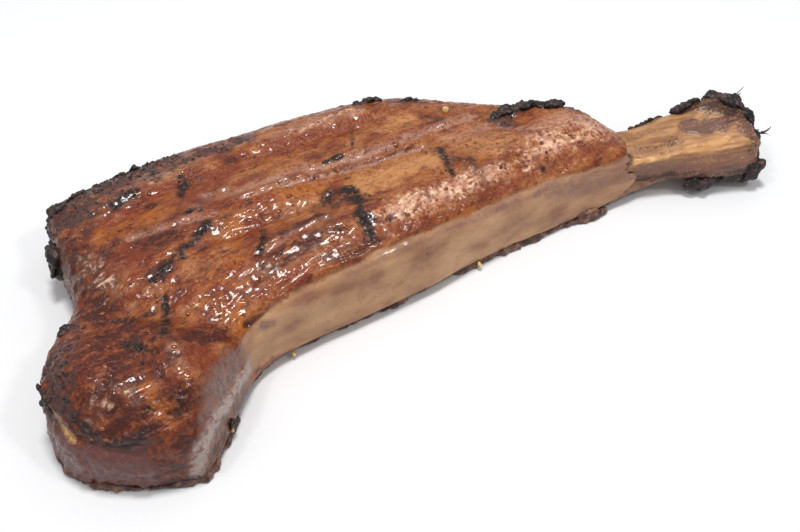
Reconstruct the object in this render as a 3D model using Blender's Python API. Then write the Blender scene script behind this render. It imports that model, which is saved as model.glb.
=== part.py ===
"""Grilled bone-in rib chop, modelled as the two pieces it is made of: the meat and the rib bone.

The chop lies on its cut face. +X runs along the rib towards its bare end, +Y away from the rib
towards the outer fat edge, +Z up, and the origin is the bottom centre of the whole chop.
"""

import math

import bmesh
import bpy
import numpy as np
from mathutils import Vector, noise

MM = 0.001
LEAST_OPEN = 0.3  # share of its breadth that a loft's end ring keeps

# Mesh density
MEAT_STATIONS = 74
MEAT_RING_POINTS = 40
BONE_STATIONS = 46
BONE_RING_POINTS = 20

# The meat is lofted between its rib edge and its fat edge. Each station is one cut across it, in mm:
# rib edge (x, y), fat edge (x, y), height at the rib edge, height at the fat edge.
MEAT_CUTS = (
    ((-116, -60), (-135, -50), 15, 12),
    ((-107, -59.5), (-146, -38), 26, 19),
    ((-99, -54), (-148, -20), 32, 25),
    ((-91, -47), (-140, -3), 34, 28),
    ((-84, -40.5), (-127.5, 11), 34, 28),
    ((-77, -36), (-121, 24), 33, 27),
    ((-69, -34), (-118.5, 49), 33, 27),
    ((-60, -33.5), (-114, 65), 34, 27),
    ((-48, -34), (-92, 68), 35, 28),
    ((-30, -35), (-65, 68), 36, 28),
    ((-8, -35.5), (-32, 64.5), 35, 28),
    ((16, -34.5), (4, 58.5), 34, 28),
    ((38, -35), (33, 49), 31, 27),
    ((58, -36), (54.5, 31), 28, 26),
    ((78, -37.5), (75, 15.5), 26, 26),
    ((100, -40), (95, 5), 20, 23),
)
MEAT_RIB_LEAN = 5.0  # how far the rib side leans back between floor and top
MEAT_FAT_LEAN = 3.0
MEAT_SQUARENESS = (9.0, 4.0)  # exponents of the cut's rounded outline: near the floor, near the top
MEAT_ROUND_HEAD = 0.07  # share of the length over which each end closes
MEAT_ROUND_TAIL = 0.035
END_HEIGHT = 0.55  # share of its height that the meat keeps where an end closes
FLAT_BASE = 0.8  # anything lower than this rests flat on the floor

# Muscle seams and rolls on the top: (points along it, width, height), in mm. Seams are negative.
TOP_RELIEF = (
    ("seam behind the rib muscle", ((-66, 2), (-18, 7), (14, 9), (38, 11), (62, 4)), 5.0, -2.4),
    ("seam under the fat", ((-98, 34), (-52, 37), (-16, 34), (20, 30)), 5.0, -1.6),
    ("rib muscle roll", ((-30, -16), (10, -14), (45, -12), (80, -14)), 8.0, 2.4),
    ("middle muscle roll", ((-88, 12), (-50, 14), (-20, 18), (14, 19)), 7.0, 1.6),
    ("fat edge roll", ((-100, 50), (-60, 49), (-20, 45), (20, 38)), 7.0, 1.8),
    ("neck of the knuckle", ((-118, 6), (-104, -10), (-90, -24), (-80, -30)), 7.5, -3.5),
    ("knuckle, outer boss", ((-134, -22), (-122, -38)), 13.0, 4.5),
    ("knuckle, inner boss", ((-106, -30), (-105, -44)), 9.0, 3.5),
    ("valley across the knuckle", ((-119, -8), (-113, -30), (-114, -50)), 6.0, -2.6),
    ("step at the tail muscle", ((12, 4), (16, -6), (13, -18)), 5.0, -1.4),
)
LUMP_SIZE = 16.0  # spacing and depth of the broad unevenness that grilling leaves
LUMP_DEPTH = 1.1

# The rib runs from inside the knuckle to its bare end: (x, y, z of its middle, breadth, height), in mm.
BONE_CUTS = (
    (-110, -34, 16, 13, 14),
    (-96, -29, 16, 15, 16),
    (-80, -20, 16, 15, 17),
    (-60, -17, 16, 15, 17),
    (-30, -18, 16, 15, 17),
    (10, -18, 15, 15, 17),
    (45, -18.5, 14, 15, 16),
    (68, -20, 13, 17, 15),
    (86, -23, 12.5, 20, 15),
    (102, -28.5, 13, 24, 16),
    (116, -33, 14, 29, 17),
    (128, -37.5, 14.5, 32, 18),
    (138, -41, 14.5, 33.5, 19.5),
    (145.5, -43.5, 13.5, 29, 18),
)
BONE_SQUARENESS = 2.6
BONE_ROUND_HEAD = 0.03
BONE_ROUND_TAIL = 0.03
BONE_CAP = 1.5  # how far the rib's end faces dome out
BONE_FIT = 0.45  # clearance all round between the rib and the meat
# Burnt gristle on the bare end, as bulges: (middle, radius, height, direction it stands out)
BONE_BULGES = (
    ("burnt knob under the end", (139, -52, 4), 10.0, 6.5, (0.15, -0.35, -1)),
    ("burnt heel", (122, -44, 4), 11.0, 5.0, (0.15, -0.35, -1)),
    ("burnt crown", (136, -27, 22), 8.0, 3.0, (0.15, 0.35, 1)),
    ("burnt lip", (149, -38, 20), 8.0, 3.5, (0.15, 0.35, 1)),
)

MEAT_COLOUR = (0.42, 0.13, 0.035, 1.0)
MEAT_ROUGHNESS = 0.35  # glazed
BONE_COLOUR = (0.52, 0.30, 0.12, 1.0)
BONE_ROUGHNESS = 0.6


def clear_scene():
    for obj in list(bpy.data.objects):
        bpy.data.objects.remove(obj, do_unlink=True)


def smooth_rows(rows, count):
    """Rows read at evenly spaced places along a Catmull-Rom spline through all of them."""
    rows = np.array(rows, float)
    padded = np.vstack([2 * rows[0] - rows[1], rows, 2 * rows[-1] - rows[-2]])
    along = np.linspace(0, len(rows) - 1, count)
    start = np.minimum(along.astype(int), len(rows) - 2)
    t = (along - start)[:, None]
    a, b, c, d = (padded[start + k] for k in range(4))
    return 0.5 * (
        2 * b + (c - a) * t + (2 * a - 5 * b + 4 * c - d) * t**2 + (3 * b - a - 3 * c + d) * t**3
    )


def rounded_outline(count, low_squareness, high_squareness):
    """Evenly spaced points (across, up) round a superellipse in the unit square, from the rib side."""
    turn = np.linspace(0, 2 * math.pi, 1441)
    power = np.where(np.sin(turn) > 0, 2 / low_squareness, 2 / high_squareness)
    across = 0.5 - 0.5 * np.sign(np.cos(turn)) * np.abs(np.cos(turn)) ** power
    up = 0.5 - 0.5 * np.sign(np.sin(turn)) * np.abs(np.sin(turn)) ** power
    length = np.concatenate([[0], np.cumsum(np.hypot(np.diff(across), np.diff(up)))])
    places = np.linspace(0, length[-1], count, endpoint=False)
    return np.column_stack([np.interp(places, length, across), np.interp(places, length, up)])


def closing(share, head, tail):
    """How open a loft is at a share of its length: 1 in the middle, rounding to a small end."""
    near = min(share / head, (1 - share) / tail, 1.0)
    return LEAST_OPEN + (1 - LEAST_OPEN) * math.sqrt(1 - (1 - near) ** 2)


def distance_to_line(x, y, points):
    """Distance in mm from a place to a line through points."""
    best = math.inf
    for (ax, ay), (bx, by) in zip(points, points[1:]):
        dx, dy = bx - ax, by - ay
        t = max(0.0, min(1.0, ((x - ax) * dx + (y - ay) * dy) / (dx * dx + dy * dy)))
        best = min(best, math.hypot(x - ax - t * dx, y - ay - t * dy))
    return best


def top_relief(x, y):
    """Height in mm of the muscle rolls, seams and lumps at a place on the top."""
    height = 0.0
    for _, points, width, rise in TOP_RELIEF:
        height += rise * math.exp(-((distance_to_line(x, y, points) / width) ** 2))
    return height + LUMP_DEPTH * noise.noise(Vector((x, y, 0)) / LUMP_SIZE)


def meat_ring(cut, openness, outline):
    """Points in mm of one cut across the meat."""
    rib, fat = np.array(cut[0:2]), np.array(cut[2:4])
    rib_height, fat_height = cut[4:6]
    middle = (rib + fat) / 2
    reach = fat - rib
    inward = reach / np.linalg.norm(reach)
    ring = []
    for across, up in outline:
        across = 0.5 + (across - 0.5) * openness
        place = rib + reach * across
        lean = MEAT_RIB_LEAN * (1 - across) - MEAT_FAT_LEAN * across
        place = place + inward * lean * up
        height = rib_height + (fat_height - rib_height) * across
        kept = END_HEIGHT + (1 - END_HEIGHT) * openness
        z = height / 2 + (up - 0.5) * height * kept
        z += top_relief(*place) * up**2 * openness
        ring.append((*place, z if z > FLAT_BASE else 0.0))
    ring = np.array(ring)
    return ring, np.array([*middle, 0.5 * (ring[:, 2].max() + ring[:, 2].min())])


def bone_ring(cut, heading, openness, outline, grow):
    """Points in mm of one cut across the rib, grown all round by grow."""
    x, y, z, breadth, height = cut
    side = np.array([-heading[1], heading[0], 0.0])
    breadth, height = breadth * openness + 2 * grow, height * openness + 2 * grow
    ring = []
    for across, up in outline:
        place = np.array([x, y, z]) + side * (across - 0.5) * breadth
        place[2] += (up - 0.5) * height
        ring.append(place)
    return np.array(ring), np.array([x, y, z])


def bulged(point):
    """The point pushed outwards by the burnt lumps near it."""
    moved = Vector(point)
    for _, middle, radius, rise, outwards in BONE_BULGES:
        away = Vector(point) - Vector(middle)
        push = rise * math.exp(-((away.length / radius) ** 2))
        moved += Vector(outwards).normalized() * push
    moved.z = max(moved.z, 0.0)
    return moved


def loft_mesh(name, rings, ends):
    """A closed mesh through equal rings, in mm, with a fan to a point at each end."""
    mesh = bmesh.new()
    loops = [[mesh.verts.new(Vector(p) * MM) for p in ring] for ring in rings]
    for near, far in zip(loops, loops[1:]):
        for i in range(len(near)):
            j = (i + 1) % len(near)
            mesh.faces.new((near[i], far[i], far[j], near[j]))
    for loop, end in ((loops[0], ends[0]), (loops[-1], ends[1])):
        tip = mesh.verts.new(Vector(end) * MM)
        for i in range(len(loop)):
            mesh.faces.new((tip, loop[i], loop[(i + 1) % len(loop)]))
    bmesh.ops.recalc_face_normals(mesh, faces=mesh.faces)
    data = bpy.data.meshes.new(name)
    mesh.to_mesh(data)
    mesh.free()
    obj = bpy.data.objects.new(name, data)
    bpy.context.scene.collection.objects.link(obj)
    return obj


def make_meat():
    rows = smooth_rows([(*rib, *fat, a, b) for rib, fat, a, b in MEAT_CUTS], MEAT_STATIONS)
    outline = rounded_outline(MEAT_RING_POINTS, *MEAT_SQUARENESS)
    rings, middles = [], []
    for i, row in enumerate(rows):
        openness = closing(i / (MEAT_STATIONS - 1), MEAT_ROUND_HEAD, MEAT_ROUND_TAIL)
        ring, middle = meat_ring(row, openness, outline)
        rings.append(ring)
        middles.append(middle)
    return loft_mesh("meat", rings, (middles[0], middles[-1]))


def make_bone(name, grow=0.0):
    rows = smooth_rows(BONE_CUTS, BONE_STATIONS)
    headings = np.gradient(rows[:, :2], axis=0)
    headings /= np.linalg.norm(headings, axis=1)[:, None]
    outline = rounded_outline(BONE_RING_POINTS, BONE_SQUARENESS, BONE_SQUARENESS)
    rings, middles = [], []
    for i, (row, heading) in enumerate(zip(rows, headings)):
        openness = closing(i / (BONE_STATIONS - 1), BONE_ROUND_HEAD, BONE_ROUND_TAIL)
        ring, middle = bone_ring(row, heading, openness, outline, grow)
        rings.append([bulged(p) for p in ring])
        middles.append(middle)
    out = Vector((*headings[-1], 0)) * (BONE_CAP + grow)
    back = Vector((*headings[0], 0)) * -(BONE_CAP + grow)
    return loft_mesh(name, rings, (Vector(middles[0]) + back, Vector(middles[-1]) + out))


def cut_socket(meat):
    """Cuts the rib's socket out of the meat, with clearance all round."""
    cutter = make_bone("rib_socket_cutter", BONE_FIT)
    cutter.hide_render = True
    cutter.display_type = "WIRE"
    cut = meat.modifiers.new("rib socket", "BOOLEAN")
    cut.operation = "DIFFERENCE"
    cut.solver = "EXACT"
    cut.object = cutter


def finish_surface(obj, colour, roughness):
    """A food-like Principled material and smooth shading."""
    material = bpy.data.materials.new(obj.name)
    material.use_nodes = True
    shader = material.node_tree.nodes["Principled BSDF"]
    shader.inputs["Base Color"].default_value = colour
    shader.inputs["Roughness"].default_value = roughness
    shader.inputs["Metallic"].default_value = 0.0
    obj.data.materials.append(material)
    obj.data.shade_smooth()


def centre_on_origin(objects):
    """Moves every mesh so that the bottom centre of all that is left after the cuts is the origin."""
    bpy.context.view_layer.update()
    graph = bpy.context.evaluated_depsgraph_get()
    corners = []
    for obj in objects:
        if not obj.hide_render:
            mesh = obj.evaluated_get(graph).to_mesh()
            corners += [vertex.co.copy() for vertex in mesh.vertices]
    points = np.array(corners)
    low, high = points.min(axis=0), points.max(axis=0)
    shift = Vector((-(low[0] + high[0]) / 2, -(low[1] + high[1]) / 2, -low[2]))
    for obj in objects:
        for vertex in obj.data.vertices:
            vertex.co += shift
    print("frame shift in mm:", [round(c / MM, 2) for c in shift])


def main():
    clear_scene()
    meat = make_meat()
    bone = make_bone("rib_bone")
    cut_socket(meat)
    finish_surface(meat, MEAT_COLOUR, MEAT_ROUGHNESS)
    finish_surface(bone, BONE_COLOUR, BONE_ROUGHNESS)
    centre_on_origin(list(bpy.data.objects))


main()
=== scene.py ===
"""Looks of the grilled bone-in rib chop: its real surfaces, materials, floor, lights and camera.

Lengths are in millimetres unless a name says otherwise. Meshes are in metres, in the CAD frame:
+X along the rib to its bare end, +Y towards the outer fat edge, +Z up.
"""

import math

import bmesh
import bpy
import numpy as np
from mathutils import Matrix, Vector, noise
from mathutils.bvhtree import BVHTree


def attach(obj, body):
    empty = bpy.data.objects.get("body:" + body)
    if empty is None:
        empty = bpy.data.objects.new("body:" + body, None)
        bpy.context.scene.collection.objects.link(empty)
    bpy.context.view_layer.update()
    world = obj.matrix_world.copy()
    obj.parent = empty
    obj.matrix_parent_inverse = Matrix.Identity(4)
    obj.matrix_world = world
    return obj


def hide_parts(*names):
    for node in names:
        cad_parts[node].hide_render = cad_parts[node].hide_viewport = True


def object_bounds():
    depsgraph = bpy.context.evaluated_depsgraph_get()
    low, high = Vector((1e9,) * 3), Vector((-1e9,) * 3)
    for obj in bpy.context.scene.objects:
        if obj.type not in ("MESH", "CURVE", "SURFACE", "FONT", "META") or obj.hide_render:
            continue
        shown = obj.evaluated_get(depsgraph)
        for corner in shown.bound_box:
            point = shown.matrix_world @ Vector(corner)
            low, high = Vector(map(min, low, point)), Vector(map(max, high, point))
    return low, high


bl_info = {
    "name": "Grilled rib chop",
    "version": (1, 0, 0),
    "blender": (4, 5, 0),
    "location": "3D View > Sidebar > Rib chop",
    "description": "Builds the surfaces, scraps and glaze of a grilled bone-in rib chop",
    "category": "Mesh",
}

MM = 0.001
PER_SQUARE_CM = 1e4
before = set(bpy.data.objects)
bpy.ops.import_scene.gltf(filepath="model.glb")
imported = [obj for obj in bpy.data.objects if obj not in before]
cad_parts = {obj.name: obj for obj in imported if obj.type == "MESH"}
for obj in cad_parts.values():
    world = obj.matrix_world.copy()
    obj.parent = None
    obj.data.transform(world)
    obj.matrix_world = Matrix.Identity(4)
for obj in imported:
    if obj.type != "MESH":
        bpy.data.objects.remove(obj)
CAD_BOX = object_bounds()

# Lengths in mm unless the comment says otherwise
RIB_MOUTH = 86.0  # where the rib comes out of the meat, along x
BOX_SPARE = 0.025  # how far a surface may pass the CAD box, as a share of the box's sides
MERGE_DISTANCE = 0.01
FOOT_HEIGHT = 1.2  # height at which the meat is cut to find the line of its foot
FOOT_STEP = 2.5  # distance between the points of the foot line
PLAIN_CRUST = 0.75  # thickness of the foot crust away from the rib side, as in FOOT_THICKNESS
RIB_SIDE_Y = -27  # the rib side lies below this y
END_LIFT = 12.0  # how far the foot is lifted at the very end of the rib side

# ---------------------------------------------------------------- places on the chop, in mm

# Height at which the glazed top gives way to the bare rib side, along x
SIDE_TOP = (
    (-115, 6), (-111, 17), (-107, 25), (-102, 30), (-96, 31), (-90, 28), (-84, 24), (-76, 23.5), (-68, 26.5),
    (-55, 28.6), (-34, 29.2), (-14, 29.2), (7, 27.8), (30, 26.2), (53, 24.5), (76, 22.5), (98, 20),
)

# Places on the rib's bare side and the knuckle: (name, points with height, half width, strength, what)
SIDE_SPOTS = (
    ("amber foot", ((-82, -41, 5), (-72, -39, 4), (-50, -38, 1)), 3.6, 0.8, "orange_glaze"),
    ("glaze that ran down", ((-80, -31, 27), (-82, -34, 21)), 2.6, 1.0, "orange_glaze"),
    ("dark foot of the knuckle", ((-104, -60, 7), (-95, -54, 6), (-87, -45, 4)), 4.5, 0.85, "dark_glaze"),
    ("amber drip", ((2, -33, 29), (9, -33.5, 28), (15, -34, 27)), 1.1, 0.6, "orange_glaze"),
    ("bruise", ((-72, -35, 22), (-69, -36, 21)), 2.4, 0.8, "side_streak"),
    ("grey end", ((50, -37, 21), (68, -37, 18), (84, -38, 14)), 3.5, 0.7, "side_streak"),
    (
        "pale strip",
        ((-83, -41, 13), (-93, -50, 15), (-103, -58, 18), (-110, -62, 15), (-113, -63, 4)),
        3.0, 1.0, "pale_sinew",
    ),
    (
        "rim",
        ((-141, -30, 27), (-139, -40, 25), (-135, -50, 22), (-130, -54, 22), (-122, -56, 26)),
        2.2, 1.0, "crust",
    ),
    ("fat strip", ((-145, -27, 25), (-145, -34, 22), (-143, -41, 20)), 1.7, 0.9, "fat"),
    ("fat fleck", ((-124, -58, 9), (-121, -59, 8)), 1.4, 0.8, "fat"),
    (
        "pale band", ((-146, -30, 17), (-143, -44, 14), (-135, -54, 12), (-127, -58, 11)), 3.2, 0.62,
        "pale_sinew",
    ),
    ("black corner", ((-121, -62, 3), (-117, -64, 1), (-114, -63, 2)), 2.6, 1.0, "crust"),
    ("pinhole", ((-6, -37, 20.5), (-5, -37, 20)), 0.7, 1.0, "mark"),
    ("small pinhole", ((-12, -37, 22), (-12, -37, 21.8)), 0.55, 0.9, "mark"),
    ("pinhole, rib end", ((50, -37, 15), (50, -37, 14.5)), 0.6, 0.9, "mark"),
)

# Grill marks: (name, points, half width, strength)
GRILL_MARKS = (
    ("wide, across the rib muscle", ((-19, -3), (-19, -9), (-21, -15), (-23, -22), (-24, -27)), 2.9, 1.0),
    ("beside the wide one", ((-28, -2), (-29, -5), (-28, -9)), 2.8, 0.65),
    ("thin, across the rib muscle", ((24, 0), (20, -10), (17, -19)), 1.4, 0.85),
    ("flecks by the thin one", ((29, -12), (27, -25)), 2.0, 0.5),
    ("broad, on the thick side", ((-70, 9), (-77, 4), (-82, 3)), 2.0, 0.8),
    ("broad, on the thick side, heart", ((-85, 1), (-91, -1), (-97, -3)), 3.2, 1.0),
    ("short, near the side", ((-55, -4), (-58, -10), (-61, -14)), 1.4, 0.75),
    ("in the long seam", ((-19, 14), (-12, 14)), 1.4, 1.0),
    ("near the fat edge", ((-66, 40), (-68, 35), (-71, 30)), 1.7, 0.85),
    ("fleck", ((-73, 19), (-69, 17)), 1.5, 0.95),
    ("hairline", ((1, 27), (-3, 20), (-6, 15)), 0.8, 0.55),
    ("down the neck", ((-96, -11), (-99, -18), (-103, -28)), 2.0, 0.95),
    ("wrinkles on the neck", ((-113, -11), (-102, -14)), 2.6, 0.5),
    ("specks on the neck", ((-116, -24), (-111, -31)), 3.0, 0.8),
    ("at the rib end", ((53, -23), (52, -29)), 1.5, 0.8),
    ("beside the honey patch", ((-108, -51), (-111, -55)), 2.2, 0.6),
    ("corner streak", ((-93, 39), (-84, 41)), 2.0, 0.95),
    ("edge of the corner", ((-114, 57), (-98, 57), (-84, 58)), 3.4, 0.75),
)

# Charred zones: (name, points, half width, strength)
CHARRED = (
    ("corner of the fat edge", ((-116, 54), (-104, 53), (-86, 55), (-64, 57)), 12.0, 1.1),
    ("corner, inner part", ((-113, 45), (-104, 40)), 6.0, 0.9),
    ("behind the corner", ((-56, 50), (-46, 48), (-36, 50)), 6.0, 0.8),
    ("fat edge, middle", ((6, 43), (22, 39), (36, 32)), 3.6, 0.7),
    ("fat edge, rib end", ((62, 7), (72, 7), (84, 1), (89, -5)), 3.6, 1.1),
    ("smear at the rib end", ((54, 8), (58, 4), (60, -1)), 3.4, 0.85),
    ("outer side of the knuckle", ((-136, -16, 28), (-140, -24, 28), (-142, -30, 27)), 7.0, 1.0),
    ("oval by the notch", ((-131, -2), (-124, -6)), 3.0, 1.0),
    ("left face", ((-119, 40), (-120, 28)), 6.0, 0.6),
)

# Purple-grey seams between the muscles: (name, points, half width, depth)
SEAMS = (
    ("long seam", ((-26, 13), (-9, 10.5), (9, 9), (24, 12), (35, 11), (47, 11)), 2.1, 0.9),
    ("step below the long seam", ((-56, 14), (-34, 10), (-15, 7), (3, 5), (18, 4)), 1.3, 0.8),
    ("seam by the fat edge", ((-64, 24), (-53, 18), (-40, 16), (-26, 17)), 3.0, 0.6),
    ("front seam", ((-60, -15), (-47, -12), (-34, -14)), 1.6, 0.55),
    ("fold at the rib end", ((46, 5), (54, 1), (57, -6)), 3.0, 0.7),
    ("seam of the thick side", ((-96, 20), (-80, 16), (-66, 12)), 2.2, 0.6),
)

# Tinted areas of the glaze: (name, points, half width, strength)
DARK_GLAZE = (
    ("thick side", ((-92, 16), (-80, 12)), 5.0, 0.7),
    ("middle, by the front seam", ((-50, -11), (-38, -10)), 2.4, 0.7),
    ("over the rib side", ((-60, -18), (-40, -19)), 3.4, 0.7),
    ("left edge", ((-116, 28), (-113, 8), (-118, -4)), 8.0, 0.95),
    ("neck", ((-120, -14), (-106, -22)), 9.0, 0.6),
    ("bulge at the neck", ((-98, -34), (-88, -34)), 4.5, 0.9),
    ("knuckle", ((-136, -36), (-128, -48)), 9.0, 0.7),
    ("knuckle, front", ((-122, -57), (-106, -52)), 6.0, 0.65),
    ("shoulder, thick part", ((-62, -21), (-46, -20), (-33, -20)), 3.6, 0.85),
    ("shoulder, under the wide mark", ((-40, -28), (-24, -30)), 3.0, 0.6),
    ("by the fat edge", ((-66, 20), (-58, 22)), 4.0, 0.5),
    ("right of the cream fleck", ((31, 21), (34, 15)), 3.0, 0.7),
    # painted shadow: a dark line along the step below the long seam
    ("painted shadow under the long seam's step", ((-15, 8), (-7, 6), (3, 5.5), (15, 5)), 1.0, 1.0),
    ("left of the wide mark", ((-33, -3), (-36, -10), (-33, -19)), 3.0, 0.6),
    ("round the wide mark", ((-27, -2), (-22, -3), (-21, -12)), 4.0, 0.75),
    ("round the thin mark", ((22, 2), (22, -8), (27, -16)), 3.6, 0.55),
    ("rib muscle, rib end", ((30, -20), (44, -20)), 3.0, 0.4),
)
RED_GLAZE = (
    ("fat edge, middle", ((-30, 36), (0, 32)), 6.0, 0.5),
    ("shoulder, rib end", ((14, -30), (40, -30), (88, -30)), 2.2, 0.5),
    ("shoulder, thick part", ((-66, -26), (-44, -27), (-10, -28)), 3.0, 0.6),
    ("knuckle top", ((-126, -34), (-127, -42)), 9.0, 0.9),
    ("thick side", ((-111, 14), (-96, 14)), 8.0, 0.9),
    ("thick side, fat edge", ((-96, 36), (-70, 37)), 4.0, 0.8),
)
ORANGE_GLAZE = (
    ("by the rib side", ((-80, -30), (-79, -20), (-72, -16)), 7.0, 1.0),
    ("thick side", ((-66, -4), (-60, 4), (-56, 8)), 5.0, 0.9),
    ("strip over the rib muscle", ((-53, 10), (-41, 7), (-28, 4)), 3.0, 0.8),
    ("thick side, fat edge", ((-103, 27), (-90, 26), (-80, 30)), 6.0, 0.7),
    ("honey patch of the knuckle", ((-117, -45), (-116, -52), (-115, -57)), 3.4, 0.75),
    ("drip over the rib side", ((1, -32), (9, -33), (17, -33)), 1.2, 0.8),
    ("rib end", ((60, 2), (70, -2)), 4.0, 0.5),
)
PALE_GLAZE = (
    ("rib muscle", ((-14, -4), (6, -4), (18, -4)), 7.0, 0.95),
    ("rib muscle, left", ((-44, -3), (-32, -4)), 5.0, 0.6),
    ("sheet by the cream fleck", ((8, 20), (24, 23)), 4.5, 0.8),
    ("tail muscle", ((34, -6), (44, -12)), 7.0, 0.6),
    ("ridge of the thick side", ((-72, -6), (-60, -2)), 3.0, 0.4),
    ("fat edge, left", ((-74, 43), (-60, 44)), 4.0, 0.4),
)
# Painted highlights: pale speckles on the grain tops that stand for glints: (name, points, half width,
# strength)
PAINTED_GLINTS = (
    ("shoulder", ((-18, -24), (4, -23), (36, -23)), 5.5, 0.55),
    ("shoulder, rib end", ((48, -23), (66, -18), (82, -22)), 7.5, 0.5),
    ("shoulder, thick part", ((-70, -20), (-50, -24), (-30, -25)), 4.5, 0.26),
    ("fat edge", ((-20, 38), (6, 38)), 3.5, 0.34),
    ("corner of the fat edge", ((-84, 44), (-66, 42)), 4.0, 0.45),
    ("left edge", ((-112, 20), (-108, 4)), 6.0, 0.38),
    ("knuckle, by the honey patch", ((-104, -38), (-107, -48)), 3.0, 0.32),
    ("knuckle, outer part", ((-123, -44), (-136, -42)), 4.0, 0.36),
)
BLUSH = (
    ("rib end", ((64, -14), (80, -10), (84, -20)), 10.0, 0.6),
    ("tail muscle", ((30, 2), (44, 4)), 5.0, 0.5),
    ("fat edge", ((-26, 40), (8, 36)), 3.5, 0.6),
    ("corner", ((-80, 46), (-62, 48)), 4.0, 0.6),
    ("shoulder", ((-12, -24), (6, -24), (36, -24)), 3.6, 0.7),
    ("shoulder, rib end", ((50, -22), (66, -22), (80, -22)), 4.0, 0.65),
    ("grey patch of the thick side", ((-71, 20), (-69, 14)), 3.0, 0.6),
)

# Burnt scraps on the meat: (name, centre x, y, z, spread along x, y, z, pellets, pellet radius)
MEAT_SCRAPS = (
    ("fat edge, middle", (17, 41, 28), (7, 1.4, 1.4), 40, 1.3),
    ("fat edge, past the middle", (34, 34, 27), (3, 1, 1), 12, 1.0),
    ("burnt flap, start", (59, 7.5, 26), (5, 1.2, 0.6), 34, 1.3),
    ("burnt flap, middle", (71, 7.5, 26.5), (6, 1.6, 1.2), 80, 1.6),
    ("burnt flap, end", (82, 2.5, 26.5), (4, 1.8, 1.4), 60, 1.7),
    ("corner", (-111, 55, 23), (2.5, 2.5, 3), 50, 1.6),
    ("corner, below", (-115, 49, 16), (1.2, 3, 4), 26, 1.4),
    ("corner, back", (-100, 57, 24), (8, 1.2, 1.5), 26, 1.1),
    ("fat edge, thick side", (-80, 58, 25), (8, 1.0, 1.2), 18, 1.0),
    ("left face lump", (-120, 39, 14), (1.4, 3.4, 5.4), 70, 2.6),
    ("oval by the notch", (-129, -3, 25), (3.2, 1.4, 0.8), 30, 1.3),
    ("outer knuckle", (-144, -24, 22), (1.2, 4, 3), 34, 1.3),
    ("knuckle foot", (-114, -62.5, 1.5), (2.5, 0.8, 0.8), 16, 1.0),
    ("crumb under the knuckle", (-95, -54.5, 6), (0.9, 0.9, 1.2), 10, 1.0),
)
BONE_SCRAPS = (
    ("crown", (130, -23.5, 23), (5, 1.4, 1.2), 60, 1.7),
    ("back edge of the neck", (112, -21.5, 19), (9, 0.8, 0.9), 44, 1.0),
    ("tip, back", (143, -28, 23), (2.4, 3.0, 1.8), 70, 1.9),
    ("tip, top", (145, -36, 23), (2.2, 3.4, 2.4), 110, 2.3),
    ("tip, middle", (147, -44, 20), (1.8, 3.6, 3.2), 110, 2.3),
    ("tip, low", (147.5, -51, 13), (1.2, 3.0, 4.0), 70, 1.9),
    ("knob under the tip", (137, -61, 8), (2.6, 0.9, 2.4), 70, 2.5),
    ("lobe under the shaft", (120, -53.5, 5), (7.5, 1.4, 1.4), 90, 2.3),
    ("strip end", (140, -58.5, 13), (1.2, 1.0, 1.6), 20, 1.4),
)

# Thickness of the crust along the foot of the rib side: (x, share of its usual thickness)
FOOT_THICKNESS = (
    (-148, 0.75), (-126, 0.75), (-118, 1.0), (-112, 0.85), (-95, 1.0), (-84, 0.8), (-62, 0.75), (-38, 0.8),
    (-20, 1.1), (58, 1.1), (70, 1.2), (78, 0.75),
)

# Fat flecks: (x, y, z, radius)
FAT_FLECKS = (
    (40, 19, 28.0, 1.35), (-124, -57.5, 11, 1.6), (-122, -58.5, 9, 1.1), (-104, -60, 3, 0.9),
    (-96, -55, 4, 0.8), (17, -38.5, 2.5, 0.8), (-63, -37, 2.2, 0.8), (-115, 33, 24, 1.0),
)


# ---------------------------------------------------------------- settings


def colour_setting(name, hex_colour):
    """A colour that can be changed, as sRGB hex."""
    return bpy.props.StringProperty(name=name, description="sRGB hex colour", default=hex_colour)


class MeatSettings(bpy.types.PropertyGroup):
    voxel: bpy.props.FloatProperty(
        name="Mesh size", description="Size of the even quads of the surface, in mm", default=0.84, min=0.5
    )
    fibre_depth: bpy.props.FloatProperty(
        name="Fibre depth", description="Depth of the muscle fibres, in mm", default=0.42
    )
    blister_depth: bpy.props.FloatProperty(
        name="Blister depth", description="Depth of the blistered glaze, in mm", default=0.44
    )
    seam_depth: bpy.props.FloatProperty(
        name="Seam depth", description="Depth of the seams between muscles, in mm", default=1.1
    )
    amber: colour_setting("Amber glaze", "9a5a26")
    orange: colour_setting("Orange glaze", "a6601a")
    red: colour_setting("Red glaze", "7c3414")
    caramel: colour_setting("Dark glaze", "4a1a0e")
    honey: colour_setting("Pale glaze", "b98352")
    blush: colour_setting("Pink meat", "bb8a72")
    seam: colour_setting("Seam", "a97f6c")
    membrane: colour_setting("Rib side", "b58c68")
    char: colour_setting("Char", "523733")


class BoneSettings(bpy.types.PropertyGroup):
    voxel: bpy.props.FloatProperty(
        name="Mesh size", description="Size of the even quads of the surface, in mm", default=0.5, min=0.3
    )
    start_x: bpy.props.FloatProperty(
        name="Start", description="Where the shown bone starts inside the meat, along x in mm", default=72.0
    )
    tan: colour_setting("Bone", "b2875e")
    strip: colour_setting("Lower strip", "856050")


class ScrapSettings(bpy.types.PropertyGroup):
    voxel: bpy.props.FloatProperty(
        name="Mesh size", description="Size of the quads of the burnt scraps, in mm", default=0.42, min=0.2
    )
    bead_density: bpy.props.FloatProperty(
        name="Glaze beads", description="Most beads of glaze for each square centimetre", default=14.0
    )
    crumb_density: bpy.props.FloatProperty(
        name="Char crumbs", description="Most crumbs of char for each square centimetre", default=20.0
    )
    seed: bpy.props.IntProperty(name="Seed", description="Number that the scatter starts from", default=7)


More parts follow.
